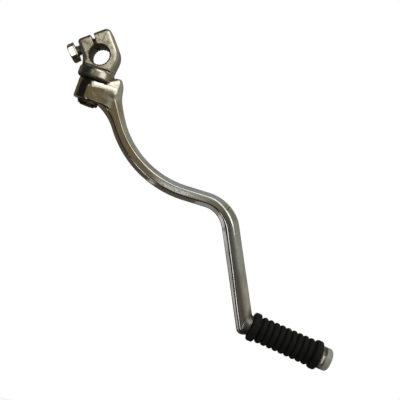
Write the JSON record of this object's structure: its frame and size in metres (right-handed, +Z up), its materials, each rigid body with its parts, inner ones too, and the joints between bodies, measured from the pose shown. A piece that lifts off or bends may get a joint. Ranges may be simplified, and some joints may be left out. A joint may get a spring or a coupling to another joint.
{
  "type": "kick start lever",
  "caption": "Folding kick start lever: split clamp knuckle for a serrated shaft, S-shaped chromed arm that folds on an upright pivot, and a ribbed rubber foot pedal.",
  "frame": {"origin": "centre of the shaft bore, halfway through the clamp", "axes": "-Y along the bore towards the engine side, +Z up along the fold pivot from the hub to the clamp, +X out along the arm"},
  "size_m": [0.2569, 0.0271, 0.1824],
  "materials": {
    "knuckle_chrome": "worn chrome plate on a satin forging",
    "bolt_steel": "zinc plated",
    "arm_chrome": "worn, slightly wavy chrome plate",
    "rubber": "matte",
    "washer_steel": "plain",
    "clip_steel": "dark spring steel",
    "ball_steel": "polished",
    "spring_steel": "oiled"
  },
  "bodies": {
    "knuckle_body": {"knuckle": "knuckle_chrome", "pinch_bolt": "bolt_steel", "thrust_washer": "washer_steel", "circlip": "clip_steel"},
    "lever_body": {"kick_arm": "arm_chrome", "pedal_rubber": "rubber", "detent_ball": "ball_steel", "detent_spring": "spring_steel"}
  },
  "joints": [
    {"name": "lever_fold", "type": "hinge", "parent": "knuckle_body", "child": "lever_body", "pos_m": [0.0014, 0, -0.026], "axis": [0, 0, 1], "range_deg": [0, 90]}
  ]
}
